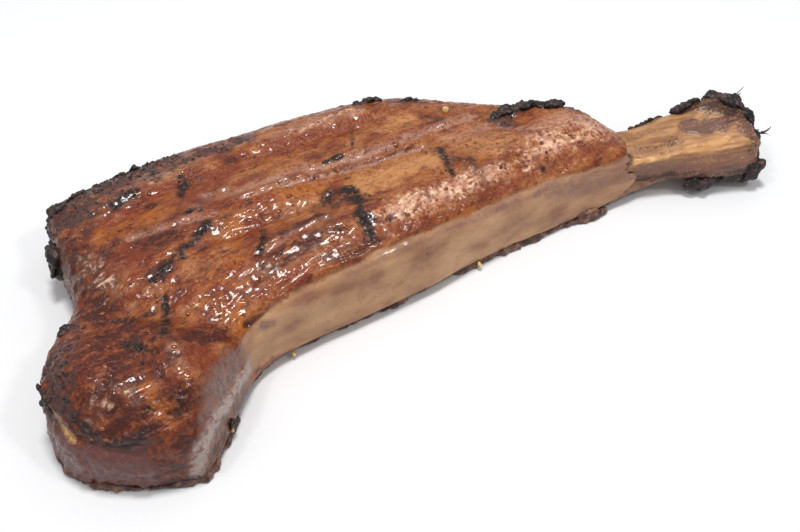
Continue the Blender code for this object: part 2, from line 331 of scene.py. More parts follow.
class StageSettings(bpy.types.PropertyGroup):
    azimuth: bpy.props.FloatProperty(
        name="Azimuth", description="Where the camera stands round the chop", default=math.radians(-33),
        subtype="ANGLE", unit="ROTATION",
    )
    elevation: bpy.props.FloatProperty(
        name="Elevation", description="How far the camera looks down", default=math.radians(48),
        subtype="ANGLE", unit="ROTATION",
    )
    distance: bpy.props.FloatProperty(
        name="Distance", description="Camera to the point it looks at, in metres", default=0.40,
        subtype="DISTANCE", unit="LENGTH",
    )
    view_angle: bpy.props.FloatProperty(
        name="View angle", description="Breadth of the view", default=math.radians(42),
        subtype="ANGLE", unit="ROTATION",
    )


# ---------------------------------------------------------------- small tools


def linear(hex_colour):
    """An sRGB hex colour as linear RGBA."""
    parts = [int(hex_colour[i : i + 2], 16) / 255 for i in (0, 2, 4)]
    return tuple(p / 12.92 if p <= 0.04045 else ((p + 0.055) / 1.055) ** 2.4 for p in parts) + (1.0,)


def ramp(value, low, high):
    """0 below low, 1 above high, and smooth between them."""
    t = np.clip((value - low) / (high - low), 0, 1)
    return t * t * (3 - 2 * t)


def lumps(points, size, octaves=3, seed=0, stretch=(1, 1, 1)):
    """Fractal noise, about -1 to 1, at points in mm, with lumps of that size in mm."""
    spots = points / (np.array(stretch) * size) + seed * 13.7
    return np.array([noise.fractal(p, 1.0, 2.0, octaves) for p in spots.tolist()])


def pebbles(points, size, seed=0, stretch=(1, 1, 1)):
    """Rounded grains: 1 at the middle of each grain, falling to 0 between them."""
    spots = points / (np.array(stretch) * size) + seed * 7.3
    return np.array([1 - min(1.0, 1.25 * noise.voronoi(p)[0][0]) for p in spots.tolist()])


def from_line(points, line):
    """Distance in mm from each point to a line: seen from above, unless the line has heights."""
    size = len(line[0])
    best = np.full(len(points), 1e9)
    for start, end in zip(line, line[1:]):
        start, end = np.array(start, float), np.array(end, float)
        along = end - start
        t = np.clip(((points[:, :size] - start) @ along) / (along @ along), 0, 1)
        best = np.minimum(best, np.linalg.norm(points[:, :size] - start - t[:, None] * along, axis=1))
    return best


def zones(points, table, wobble=None):
    """The strongest of several soft-edged zones at each point; wobble shifts their edges, in widths."""
    strength = np.zeros(len(points))
    for _, line, width, amount in table:
        far = from_line(points, line) / width
        if wobble is not None:
            far = np.maximum(far + wobble, 0)
        strength = np.maximum(strength, amount * np.exp(-(far**2)))
    return strength


def points_of(mesh):
    """Vertex places in mm and their normals."""
    places = np.empty(len(mesh.vertices) * 3)
    mesh.vertices.foreach_get("co", places)
    normals = np.empty(len(mesh.vertices) * 3)
    mesh.vertices.foreach_get("normal", normals)
    return places.reshape(-1, 3) / MM, normals.reshape(-1, 3)


def move_points(mesh, places):
    """Puts the vertices at places in mm, kept close to the CAD model's box and above the floor."""
    low, high = (np.array(corner) / MM for corner in CAD_BOX)
    spare = (high - low) * BOX_SPARE
    places = np.clip(places, low - spare, high + spare)
    places[:, 2] = np.maximum(places[:, 2], 0)
    mesh.vertices.foreach_set("co", (places * MM).ravel())
    mesh.update()


def roughen(mesh, depth, size, octaves, seed):
    """Breaks up the skin of a crust with lumps of that depth and size in mm, and fine grains on them."""
    places, normals = points_of(mesh)
    rough = depth * lumps(places, size, octaves, seed) + 0.35 * (pebbles(places, 1.4, seed) - 0.45)
    move_points(mesh, places + normals * rough[:, None])


def store(mesh, name, values):
    """Keeps a value for each vertex, which the material reads."""
    layer = mesh.attributes.new(name, "FLOAT", "POINT")
    layer.data.foreach_set("value", np.clip(values, 0, 1))


def link_object(name, mesh):
    obj = bpy.data.objects.new(name, mesh)
    bpy.context.scene.collection.objects.link(obj)
    return obj


def merged_copy(node_name):
    """A bmesh of a CAD node with its doubles merged. The node itself is left alone."""
    mesh = bmesh.new()
    mesh.from_mesh(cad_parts[node_name].data)
    bmesh.ops.remove_doubles(mesh, verts=mesh.verts, dist=MERGE_DISTANCE * MM)
    return mesh


def evaluated_mesh(obj):
    """The mesh of an object with its modifiers applied; the object itself is removed."""
    bpy.context.view_layer.update()
    graph = bpy.context.evaluated_depsgraph_get()
    mesh = bpy.data.meshes.new_from_object(obj.evaluated_get(graph))
    old = obj.data
    bpy.data.objects.remove(obj)
    if isinstance(old, bpy.types.Mesh) and old.users == 0:
        bpy.data.meshes.remove(old)
    return mesh


def mesh_from(shape, name):
    """A bmesh as a mesh of that name. The bmesh is freed."""
    mesh = bpy.data.meshes.new(name)
    shape.to_mesh(mesh)
    shape.free()
    return mesh


def voxel_skin(shape, voxel):
    """A bmesh as one even skin of quads, which also joins what overlaps. The bmesh is freed."""
    rough = link_object("rough shape", mesh_from(shape, "rough shape"))
    skin = rough.modifiers.new("voxels", "REMESH")
    skin.mode = "VOXEL"
    skin.voxel_size = voxel * MM
    return evaluated_mesh(rough)


def finished(obj, material, slot, *nodes):
    """Gives a piece its material and its body; slot is not used."""
    obj.data.materials.clear()
    obj.data.materials.append(material)
    obj.data.shade_smooth()
    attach(obj, "root")
    if nodes:
        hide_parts(*nodes)


def add_node(tree, kind, inputs=None, settings=None, out=0, stops=()):
    """Adds a node, sets it, fills its inputs with values or other nodes' outputs, and gives an output.

    stops are a colour ramp's (place, hex colour), first to last.
    """
    new = tree.nodes.new(kind)
    if stops:
        elements = new.color_ramp.elements
        elements[0].position, elements[1].position = stops[0][0], stops[-1][0]
        elements[0].color, elements[-1].color = linear(stops[0][1]), linear(stops[-1][1])
        for place, tint in stops[1:-1]:
            elements.new(place).color = linear(tint)
    for name, value in (settings or {}).items():
        setattr(new, name, value)
    for name, value in (inputs or {}).items():
        if isinstance(value, bpy.types.NodeSocket):
            tree.links.new(value, new.inputs[name])
        else:
            new.inputs[name].default_value = value
    return new.outputs[out] if len(new.outputs) else None


# ---------------------------------------------------------------- materials


def new_material(name):
    material = bpy.data.materials.new(name)
    material.use_nodes = True
    tree = material.node_tree
    tree.nodes.clear()
    return material, tree


def close_material(tree, shader_inputs, settings=None):
    """The Principled shader and the output."""
    shader = add_node(tree, "ShaderNodeBsdfPrincipled", shader_inputs, settings)
    add_node(tree, "ShaderNodeOutputMaterial", {"Surface": shader})


def grain(tree, place, size, detail=3.0, stretch=(1, 1, 1)):
    """A noise pattern whose features are about size mm across, drawn out along an axis by stretch."""
    drawn = add_node(
        tree, "ShaderNodeMapping", {"Vector": place, "Scale": tuple(1 / s for s in stretch)}
    )
    return add_node(
        tree, "ShaderNodeTexNoise", {"Vector": drawn, "Scale": 1 / (size * MM), "Detail": detail}
    )


def layered_colour(tree, base, layers, breakup):
    """Lays colours over each other, and gives the mix and each layer's mask.

    A layer is (attribute, hex colour or socket, edge softness, break-up).
    """
    colour = base
    masks = {}
    for attribute, tint, softness, uneven in layers:
        mask = add_node(tree, "ShaderNodeAttribute", settings={"attribute_name": attribute}, out=2)
        holes = add_node(
            tree, "ShaderNodeMapRange", {"Value": breakup, "To Min": 1 - uneven, "To Max": 1 + uneven}
        )
        ragged = add_node(tree, "ShaderNodeMath", {0: mask, 1: holes}, {"operation": "MULTIPLY"})
        edge = add_node(
            tree,
            "ShaderNodeMapRange",
            {"Value": ragged, "From Min": 0.5 - softness, "From Max": 0.5 + softness},
            {"interpolation_type": "SMOOTHSTEP"},
        )
        colour = add_node(
            tree,
            "ShaderNodeMix",
            {0: edge, 6: colour, 7: linear(tint) if isinstance(tint, str) else tint},
            {"data_type": "RGBA"},
            out=2,
        )
        masks[attribute] = edge
    return colour, masks


def grilled_meat_material(settings):
    """Grilled meat under a sugar glaze: amber to dark caramel, wet and glossy, matt where it is charred."""
    material, tree = new_material("grilled_glazed_meat")
    place = add_node(tree, "ShaderNodeTexCoord", out=3)
    fine = grain(tree, place, 1.2, 4.0)
    fibre = grain(tree, place, 1.3, 3.0, (5.0, 1.0, 1.0))
    patches = grain(tree, place, 5.5, 4.0, (1.6, 1.0, 1.0))
    blotches = grain(tree, place, 3.0, 3.0, (1.5, 1.0, 1.0))
    both = add_node(tree, "ShaderNodeMix", {0: 0.5, 2: fine, 3: blotches}, {"data_type": "FLOAT"})
    breakup = add_node(tree, "ShaderNodeMapRange", {"Value": both, "From Min": 0.38, "From Max": 0.62})
    toasted = add_node(
        tree,
        "ShaderNodeValToRGB",
        {"Fac": patches},
        stops=((0.34, "6a2a14"), (0.44, "8a441d"), (0.54, settings.amber), (0.68, "ab6f46")),
    )
    streak_share = add_node(
        tree, "ShaderNodeMapRange", {"Value": fibre, "From Min": 0.48, "From Max": 0.72, "To Max": 0.4}
    )
    streaked = add_node(
        tree,
        "ShaderNodeMix",
        {0: streak_share, 6: toasted, 7: linear(settings.honey)},
        {"data_type": "RGBA"},
        out=2,
    )
    speck_share = add_node(
        tree, "ShaderNodeMapRange", {"Value": fine, "From Min": 0.52, "From Max": 0.36, "To Max": 0.55}
    )
    speckled = add_node(
        tree,
        "ShaderNodeMix",
        {0: speck_share, 6: streaked, 7: linear("5a2210")},
        {"data_type": "RGBA"},
        out=2,
    )
    clouds = grain(tree, place, 9.0, 4.0, (1.8, 1.8, 1.0))
    wall = add_node(
        tree,
        "ShaderNodeValToRGB",
        {"Fac": clouds},
        stops=((0.34, "976a4e"), (0.5, settings.membrane), (0.66, "c49b76")),
    )
    colour, masks = layered_colour(
        tree,
        speckled,
        (
            ("orange_glaze", settings.orange, 0.50, 0.6),
            ("pale_glaze", settings.honey, 0.50, 0.6),
            ("blush", settings.blush, 0.50, 0.6),
            ("red_glaze", settings.red, 0.50, 0.8),
            ("dark_glaze", settings.caramel, 0.45, 0.8),
            # painted highlights: pale speckles that stand for glints
            ("blister", "e4c0a4", 0.45, 1.0),
            ("seam", settings.seam, 0.50, 0.7),
            # painted shade in the hollows of the fine relief
            ("cavity", "4d1e0e", 0.5, 0.5),
            ("membrane", wall, 0.38, 0.35),
            # streaks of the bare side, with a painted shadow under the glaze lip
            ("side_streak", "8a685a", 0.50, 0.35),
            ("sinew", "7b5f58", 0.50, 0.5),
            ("pale_sinew", "ab978e", 0.45, 0.7),
            ("rare", "6e4641", 0.40, 0.6),
            ("fat", "c39b62", 0.35, 0.4),
            ("crust", "38221f", 0.45, 0.7),
            ("char", settings.char, 0.40, 0.8),
            ("mark", "27140f", 0.40, 0.7),
        ),
        breakup,
    )
    dull = add_node(
        tree, "ShaderNodeMath", {0: masks["char"], 1: masks["membrane"]}, {"operation": "MAXIMUM"}
    )
    rough = add_node(tree, "ShaderNodeMapRange", {"Value": dull, "To Min": 0.18, "To Max": 0.42})
    uneven_rough = add_node(
        tree, "ShaderNodeMath", {0: patches, 1: 0.2, 2: rough}, {"operation": "MULTIPLY_ADD"}
    )
    beads = add_node(
        tree,
        "ShaderNodeTexVoronoi",
        {"Vector": place, "Scale": 1 / (1.7 * MM), "Smoothness": 0.6},
        {"feature": "SMOOTH_F1"},
    )
    relief = add_node(tree, "ShaderNodeMath", {0: fibre, 1: 0.7, 2: fine}, {"operation": "MULTIPLY_ADD"})
    beaded = add_node(tree, "ShaderNodeMath", {0: beads, 1: -0.45, 2: relief}, {"operation": "MULTIPLY_ADD"})
    calm = add_node(
        tree, "ShaderNodeMapRange", {"Value": masks["membrane"], "To Min": 1.0, "To Max": 0.42}
    )
    height = add_node(tree, "ShaderNodeMath", {0: beaded, 1: calm}, {"operation": "MULTIPLY"})
    normal = add_node(tree, "ShaderNodeBump", {"Height": height, "Distance": 0.56 * MM, "Strength": 1.0})
    close_material(
        tree,
        {
            "Base Color": colour,
            "Roughness": uneven_rough,
            "Normal": normal,
            "Subsurface Weight": 0.1,
            "Subsurface Radius": (1.0, 0.35, 0.2),
            "Subsurface Scale": 1.0 * MM,
            "Specular IOR Level": 0.35,
            "Coat Weight": 0.4,
            "Coat Roughness": 0.09,
        },
    )
    return material


def roasted_bone_material(settings):
    """Roasted bone with dried membrane: warm tan with long fine streaks, satin, going brown and black."""
    material, tree = new_material("roasted_bone")
    place = add_node(tree, "ShaderNodeTexCoord", out=3)
    turned = add_node(tree, "ShaderNodeMapping", {"Vector": place, "Rotation": (0.0, 0.0, math.radians(20))})
    streaks = grain(tree, turned, 1.7, 3.0, (6.0, 1.0, 1.0))
    fine = grain(tree, place, 0.9, 4.0)
    patches = grain(tree, turned, 4.5, 4.0, (2.6, 1.0, 1.0))
    both = add_node(tree, "ShaderNodeMix", {0: 0.5, 2: fine, 3: streaks}, {"data_type": "FLOAT"})
    breakup = add_node(tree, "ShaderNodeMapRange", {"Value": both, "From Min": 0.36, "From Max": 0.64})
    tan = add_node(
        tree,
        "ShaderNodeValToRGB",
        {"Fac": streaks},
        stops=((0.28, "8f6343"), (0.5, settings.tan), (0.72, "c2966a")),
    )
    patch_share = add_node(
        tree, "ShaderNodeMapRange", {"Value": patches, "From Min": 0.5, "From Max": 0.68, "To Max": 0.6}
    )
    mottled = add_node(
        tree,
        "ShaderNodeMix",
        {0: patch_share, 6: tan, 7: linear("7d4f31")},
        {"data_type": "RGBA"},
        out=2,
    )
    colour, _ = layered_colour(
        tree,
        mottled,
        (
            ("cream", "c99c66", 0.45, 0.6),
            ("strip", settings.strip, 0.50, 0.6),
            ("sinew", "735349", 0.40, 0.6),
            ("brown", "4a2e24", 0.45, 0.8),
            ("char", "231a19", 0.35, 0.8),
        ),
        breakup,
    )
    rough = add_node(tree, "ShaderNodeMapRange", {"Value": fine, "To Min": 0.30, "To Max": 0.55})
    relief = add_node(tree, "ShaderNodeMath", {0: streaks, 1: 1.2, 2: fine}, {"operation": "MULTIPLY_ADD"})
    normal = add_node(tree, "ShaderNodeBump", {"Height": relief, "Distance": 0.2 * MM, "Strength": 0.9})
    close_material(
        tree,
        {
            "Base Color": colour,
            "Roughness": rough,
            "Normal": normal,
            "Subsurface Weight": 0.08,
            "Subsurface Radius": (1.0, 0.5, 0.3),
            "Subsurface Scale": 1.0 * MM,
            "Coat Weight": 0.15,
            "Coat Roughness": 0.25,
        },
    )
    return material


# name: (colour stops, size of the colour patches in mm, roughness low and high, bump in mm, other inputs)
SMALL_FINISHES = {
    # charred crust: brittle carbon, near black and brown where it is thin, with a dull broken sheen
    "charred_crust": (((0.38, "1d1717"), (0.52, "332827"), (0.68, "583f36")), 3.0, (0.26, 0.6), 0.3, {}),
    # dried edge of the grilled underside: thin purple-brown crust with a slight gloss
    "dried_edge_crust": (((0.36, "46302b"), (0.52, "694a41"), (0.68, "94705a")), 3.5, (0.22, 0.5), 0.25, {}),
    # set sugar glaze: small amber beads, smooth and very glossy
    "set_sugar_glaze": (
        ((0.35, "5e2711"), (0.65, "96592e")), 5.0, (0.12, 0.16), 0.1,
        {"Coat Weight": 0.5, "Coat Roughness": 0.05},
    ),
    # rendered fat: soft yellow-cream, slightly see-through and shiny
    "rendered_fat": (
        ((0.35, "b9924f"), (0.65, "e6cf9a")), 1.2, (0.25, 0.35), 0.1,
        {"Subsurface Weight": 0.2, "Subsurface Radius": (1.0, 0.7, 0.3), "Subsurface Scale": 1.0 * MM},
    ),
    # dried membrane that peels off the side: thin, tan and satin
    "dried_membrane": (
        ((0.35, "7b5540"), (0.65, "ad8460")), 2.5, (0.3, 0.45), 0.25,
        {"Subsurface Weight": 0.15, "Subsurface Scale": 1.0 * MM},
    ),
    # white coated board for the floor: even and matt, with a faint mottle
    "white_board": (((0.0, "dedfe1"), (1.0, "e2e3e4")), 60.0, (0.7, 0.8), 0.0, {"Specular IOR Level": 0.2}),
}


def small_finish(name):
    """The material of that name; it is made once."""
    if name in bpy.data.materials:
        return bpy.data.materials[name]
    stops, patch_size, roughness, bump, more = SMALL_FINISHES[name]
    material, tree = new_material(name)
    place = add_node(tree, "ShaderNodeTexCoord", out=3)
    fine = grain(tree, place, 0.8, 4.0)
    patches = grain(tree, place, patch_size, 3.0)
    colour = add_node(tree, "ShaderNodeValToRGB", {"Fac": patches}, stops=stops)
    normal = add_node(tree, "ShaderNodeBump", {"Height": fine, "Distance": bump * MM, "Strength": 0.9})
    smoothest, roughest = roughness
    rough = add_node(
        tree,
        "ShaderNodeMapRange",
        {"Value": fine, "From Min": 0.2, "From Max": 0.8, "To Min": smoothest, "To Max": roughest},
    )
    close_material(tree, {"Base Color": colour, "Roughness": rough, "Normal": normal, **more})
    return material


# ---------------------------------------------------------------- the meat


def filled_meat():
    """The CAD meat as a bmesh whose socket is filled by the part of the rib that sits in it."""
    shape = merged_copy("meat")
    rib = part_of_bone(x_from=None, x_to=RIB_MOUTH)
    filling = mesh_from(rib, "filling")
    shape.from_mesh(filling)
    bpy.data.meshes.remove(filling)
    return shape


def part_of_bone(x_from, x_to):
    """The CAD bone as a closed bmesh, cut off before x_from and past x_to where they are given."""
    shape = merged_copy("rib_bone")
    for place, heading in ((x_from, -1), (x_to, 1)):
        if place is None:
            continue
        cut = bmesh.ops.bisect_plane(
            shape,
            geom=shape.verts[:] + shape.edges[:] + shape.faces[:],
            plane_co=(place * MM, 0, 0),
            plane_no=(heading, 0, 0),
            clear_outer=True,
        )
        rim = [e for e in cut["geom_cut"] if isinstance(e, bmesh.types.BMEdge)]
        bmesh.ops.holes_fill(shape, edges=rim, sides=0)
    bmesh.ops.triangulate(shape, faces=shape.faces)
    bmesh.ops.recalc_face_normals(shape, faces=shape.faces)
    return shape


def side_mask(places, normals):
    """1 on the bare side of the rib, from the knuckle to the rib end, and 0 elsewhere."""
    top = np.interp(places[:, 0], *np.array(SIDE_TOP).T)
    top = top + 0.8 * lumps(places, 12.0, 3, 5)
    blur = 1.3 + 1.9 * ramp(-places[:, 0], 84, 92)
    below = ramp((top - places[:, 2]) / blur, -0.8, 1.0)
    outer = ramp(-normals[:, 1] + 0.6 * normals[:, 0], 0.1, 0.45)
    started = ramp(places[:, 0], -116, -108) * ramp(-places[:, 1], 20, 27)
    return below * outer * started, top


def knuckle_rim(places):
    """Height of the edge where the knuckle's top crust stops."""
    return 22.5 + 2.0 * lumps(places, 9.0, 2, 8)


def meat_zones(places, normals):
    """The named zones of the meat's surface, from 0 to 1 at each vertex."""
    x, y, z = places.T
    wobble = 0.9 * lumps(places, 5.0, 4, 1, (1.6, 1, 1))
    tone = lumps(places, 6.0, 3, 2, (2.4, 1, 1))
    up = ramp(normals[:, 2], 0.15, 0.6)
    side, side_top = side_mask(places, normals)
    glazed = 1 - side
    zone = {"side": side, "side_top": side_top, "wobble": wobble}
    zone["knuckle"] = ramp(-x, 100, 112) * ramp(-y, 0, 14)
    specks = ramp(lumps(places, 2.6, 3, 9), 0.66, 0.74) * up * ramp(-x, -40, 20)
    zone["mark"] = np.maximum(zones(places, GRILL_MARKS, 0.8 * wobble) * up, 0.65 * specks) * glazed
    zone["char"] = zones(places, CHARRED, 0.6 * wobble) * ramp(z, 8, 20) * glazed
    for name, table, spread in (
        ("dark_glaze", DARK_GLAZE, 0.22),
        ("red_glaze", RED_GLAZE, 0.18),
        ("orange_glaze", ORANGE_GLAZE, -0.12),
        ("pale_glaze", PALE_GLAZE, -0.15),
        ("blush", BLUSH, -0.15),
        ("blister", PAINTED_GLINTS, 0.1),
    ):
        zone[name] = zones(places, table, 0.6 * wobble) + spread * tone
    thick_part = ramp(-x, 25, 60)
    zone["grains"] = pebbles(places, 2.2, 23, (1.3, 1, 1))
    # the painted highlights sit on the grain tops
    zone["blister"] = zone["blister"] * (0.25 + 1.25 * zone["grains"])
    ruddy = 0.38 + 0.85 * lumps(places, 8.0, 3, 12, (1.8, 1, 1))
    zone["red_glaze"] = np.maximum(zone["red_glaze"], thick_part * ruddy)
    browned = 0.05 + 0.8 * lumps(places, 6.5, 3, 13, (1.6, 1, 1))
    zone["dark_glaze"] = np.maximum(zone["dark_glaze"], thick_part * browned)
    left_side = ramp(-normals[:, 0], 0.3, 0.8) * (1 - zone["knuckle"])
    outside = np.maximum(ramp(normals[:, 1], 0.2, 0.8), left_side)
    zone["dark_glaze"] = np.maximum(zone["dark_glaze"], outside * (0.6 + 0.4 * tone))
    honey_rows = [row for row in ORANGE_GLAZE if "honey" in row[0]]
    honey = np.clip(1.4 * zones(places, honey_rows, 0.5 * wobble), 0, 1)
    zone["dark_glaze"] = np.maximum(zone["dark_glaze"], zone["knuckle"] * (0.62 + 0.45 * tone))
    zone["dark_glaze"] = zone["dark_glaze"] * (1 - 0.6 * honey)
    zone["red_glaze"] = np.maximum(zone["red_glaze"], 0.85 * zone["knuckle"]) * (1 - 0.7 * honey)
    zone["seam"] = zones(places, SEAMS, 0.8 * wobble) * up
    zone["membrane"] = side * ramp(x, -88, -78)
    streak = ramp(lumps(places, 4.5, 3, 6, (5, 5, 1)), -0.3, 0.6)
    # painted shadow under the glaze lip, added to the side's streaks; the streaks also grow darker towards
    # both ends
    lip_shadow = np.exp(-(((side_top - z - 2.0) / 2.2) ** 2)) * ramp(x, -52, -30)
    streaked = 0.5 * lip_shadow + ramp(x, 10, 90) * (0.22 + 0.3 * streak) + 0.12 * streak
    zone["side_streak"] = zone["membrane"] * np.clip(streaked + 0.2 * ramp(-x, 40, 75), 0, 1)
    zone["sinew"] = side * ramp(-x, 76, 86) * (0.7 + 0.5 * lumps(places, 4.0, 3, 7, (1, 1, 4)))
    rim = knuckle_rim(places)
    sideways = 1 - ramp(normals[:, 2], 0.35, 0.7)
    below_rim = zone["knuckle"] * ramp(rim - z, -0.5, 1.5) * glazed * sideways
    zone["rare"] = below_rim * ramp(-x + 0.5 * y, 92, 100)
    hem = np.clip(1 - z / 2.6, 0, 1)
    zone["crust"] = hem * (0.55 + 0.7 * lumps(places, 4.0, 3, 11)) * (1 - up)
    zone["pale_sinew"] = np.zeros(len(places))
    zone["fat"] = np.zeros(len(places))
    for _, line, width, amount, name in SIDE_SPOTS:
        spot = amount * np.exp(-((np.maximum(from_line(places, line) / width + 0.4 * wobble, 0)) ** 2))
        zone[name] = np.maximum(zone[name], spot)
        if name in ("orange_glaze", "dark_glaze"):
            for covered in ("membrane", "side_streak", "sinew"):
                zone[covered] = zone[covered] * (1 - np.clip(1.3 * spot, 0, 1))
    return zone


def meat_relief(places, normals, zone, settings):
    """How far each vertex of the meat moves along its normal, in mm, and the fine part of that."""
    x, y, z = places.T
    side = zone["side"]
    up = ramp(normals[:, 2], 0.2, 0.7)
    glazed = 1 - side
    thick_part = 0.45 + 0.55 * ramp(-x, 30, 70)
    shoulder = ramp(-normals[:, 1], 0.15, 0.6) * ramp(z, 22, 27)
    fibres = 1 - 2 * np.abs(lumps(places, 2.6, 3, 21, (5, 1, 1)))
    blisters = 0.6 * (1 - 2.2 * np.abs(lumps(places, 7.0, 3, 22, (2.0, 1, 1))))
    blisters = blisters + 0.8 * lumps(places, 4.0, 3, 19, (1.4, 1, 1))
    grit = zone["grains"] - 0.4
    fine = glazed * (
        settings.fibre_depth * 0.6 * fibres
        + settings.blister_depth * thick_part * (blisters - 0.35)
        + (0.30 + 0.25 * shoulder + 0.4 * np.clip(zone["blister"], 0, 1)) * grit
        + 0.2 * lumps(places, 1.9, 2, 24)
    )
    relief = fine + glazed * 0.7 * lumps(places, 20.0, 2, 20, (2.2, 1, 1))
    for _, line, width, depth in SEAMS:
        far = from_line(places + 1.5 * zone["wobble"][:, None], line) / width
        profile = 0.5 * np.exp(-((far - 1.5) ** 2)) - np.exp(-((1.4 * far) ** 2))
        relief += settings.seam_depth * depth * profile * up
    burnt = np.maximum(zone["char"], zone["mark"]) * glazed
    relief += burnt * (0.6 * pebbles(places, 1.9, 25) - 0.35)
    # the glaze ends in a rolled lip over the bare side, with a fine groove under the lip
    below_lip = zone["side_top"] - z
    facing = ramp(-normals[:, 1] + 0.6 * normals[:, 0], 0.0, 0.4) * ramp(x, -84, -76)
    relief += 0.35 * np.exp(-(((below_lip + 2.6) / 1.7) ** 2)) * facing
    relief -= 0.5 * np.exp(-(((below_lip - 0.7) / 1.0) ** 2)) * facing
    # bare side: soft waves, and threads on the knuckle
    waves = 0.5 * lumps(places, 16.0, 2, 26) + 0.1 * lumps(places, 2.6, 2, 27, (3, 3, 1))
    relief += zone["membrane"] * waves
    threads = 1 - 2 * np.abs(lumps(places, 2.6, 3, 28, (0.8, 0.8, 5)))
    relief += zone["sinew"] * 0.6 * threads + 0.9 * zone["pale_sinew"]
    # the rib end of the side rounds off towards the flap
    relief -= 2.2 * ramp(x, 86, 97) * ramp(14 - z, 0, 10)
    # knuckle: the top crust ends in a rim over the pink layer
    rim = knuckle_rim(places)
    outside = zone["knuckle"] * (1 - ramp(normals[:, 2], 0.5, 0.85)) * glazed * ramp(-x + 0.5 * y, 90, 98)
    relief += outside * (
        1.1 * np.exp(-(((z - rim - 1.2) / 1.7) ** 2)) - 1.5 * np.exp(-(((z - rim + 2.6) / 2.0) ** 2))
    )
    relief += zone["rare"] * 0.6 * lumps(places, 3.5, 3, 29)
    # the underside's crust stands out in scallops at the foot
    foot = np.exp(-((z / 2.4) ** 2)) * (1 - np.abs(normals[:, 2]))
    scallop = ramp(lumps(places, 5.0, 3, 30), -0.15, 0.45)
    relief += foot * (1.5 + 1.2 * zone["knuckle"]) * (scallop - 0.25)
    lifted = np.maximum(ramp(z, 0.2, 2.5), foot)
    return relief * np.where(normals[:, 2] < -0.5, 0.0, lifted), fine


def tapered_end(places):
    """Lifts the foot of the meat at its rib end, where the side runs out along the rib."""
    lift = END_LIFT * ramp(places[:, 0], 70, 102) * ramp(-places[:, 1], 14, 32)
    low = np.clip(1 - places[:, 2] / 20, 0, 1)
    places = places.copy()
    places[:, 2] += lift * low
    return places


PAINTED = (
    "orange_glaze", "pale_glaze", "blush", "red_glaze", "dark_glaze", "blister", "seam", "cavity", "membrane",
    "side_streak", "sinew", "pale_sinew", "rare", "fat", "crust", "char", "mark",
)


def make_meat(settings):
    mesh = voxel_skin(filled_meat(), settings.voxel)
    mesh.name = "meat_surface"
    places, normals = points_of(mesh)
    places = tapered_end(places)
    zone = meat_zones(places, normals)
    relief, fine = meat_relief(places, normals, zone, settings)
    # painted shade: darker in the hollows of the fine relief
    zone["cavity"] = ramp(-fine, -0.1, 0.75)
    outwards = normals.copy()
    outwards[places[:, 2] < 3, 2] = 0
    move_points(mesh, places + outwards * relief[:, None])
    for name in PAINTED:
        store(mesh, name, zone[name])
    up = ramp(normals[:, 2], 0.1, 0.6)
    burnt = np.maximum(zone["char"], zone["mark"])
    wet = (1 - zone["side"]) * (1 - np.clip(burnt, 0, 1)) * up * ramp(places[:, 2], 12, 20)
    shoulder = zones(places, (("shoulder", ((-30, -26), (20, -25), (80, -23)), 6.0, 1.0),))
    store(mesh, "wet", wet * (0.2 + 0.8 * shoulder) * ramp(lumps(places, 7.0, 2, 41), -0.2, 0.3))
    store(mesh, "burnt", np.where(burnt > 0.6, burnt, 0) * ramp(places[:, 2], 8, 16))
    meat = link_object("meat_surface", mesh)
    finished(meat, grilled_meat_material(settings), "grilled_meat", "meat")
    return meat


# ---------------------------------------------------------------- the rib bone


# Front and back edges of the shaft's upper face, seen from above
BONE_RIDGE = ((80, -36), (93, -39.5), (104, -44), (115, -49), (124, -54), (134, -58))
BONE_BACK = ((80, -16), (95, -20), (110, -21.5), (122, -22.5), (134, -25))
# Marks on the rib: (what, name, points, half width, strength)
BONE_MARKS = (
    ("sinew", "patch", ((120, -37), (124, -41), (131, -43)), 4.0, 1.0),
    ("sinew", "patch, end", ((131, -44), (137, -46), (138, -52)), 4.0, 0.9),
    ("cream", "by the meat", ((92, -38), (96, -40), (104, -43)), 1.5, 0.8),
    ("cream", "behind the patch", ((127, -35), (132, -35)), 1.8, 0.8),
    ("cream", "ridge", ((112, -46), (120, -49), (128, -52)), 2.0, 0.7),
    ("brown", "back edge", ((96, -19), (112, -22), (126, -23)), 2.6, 0.9),
    ("brown", "streak", ((96, -35), (104, -38), (112, -40)), 3.2, 0.5),
    ("brown", "at the meat", ((88, -30), (90, -36)), 2.6, 0.9),
    ("brown", "upper streaks", ((98, -28), (114, -31)), 3.0, 0.35),
    ("brown", "end, upper", ((130, -28), (137, -36), (140, -44)), 6.0, 1.05),
    ("brown", "strip end", ((134, -59), (139, -57)), 2.5, 0.6),
    (
        "char", "tip",
        ((139, -24, 24), (145, -32, 23), (146, -40, 22), (147, -48, 14), (146, -56, 8)), 5.0, 1.1,
    ),
    ("char", "crown", ((128, -23), (137, -25)), 3.4, 0.9),
    ("char", "heel", ((114, -51, 2), (126, -57, 4), (139, -61, 6)), 5.0, 1.1),
)


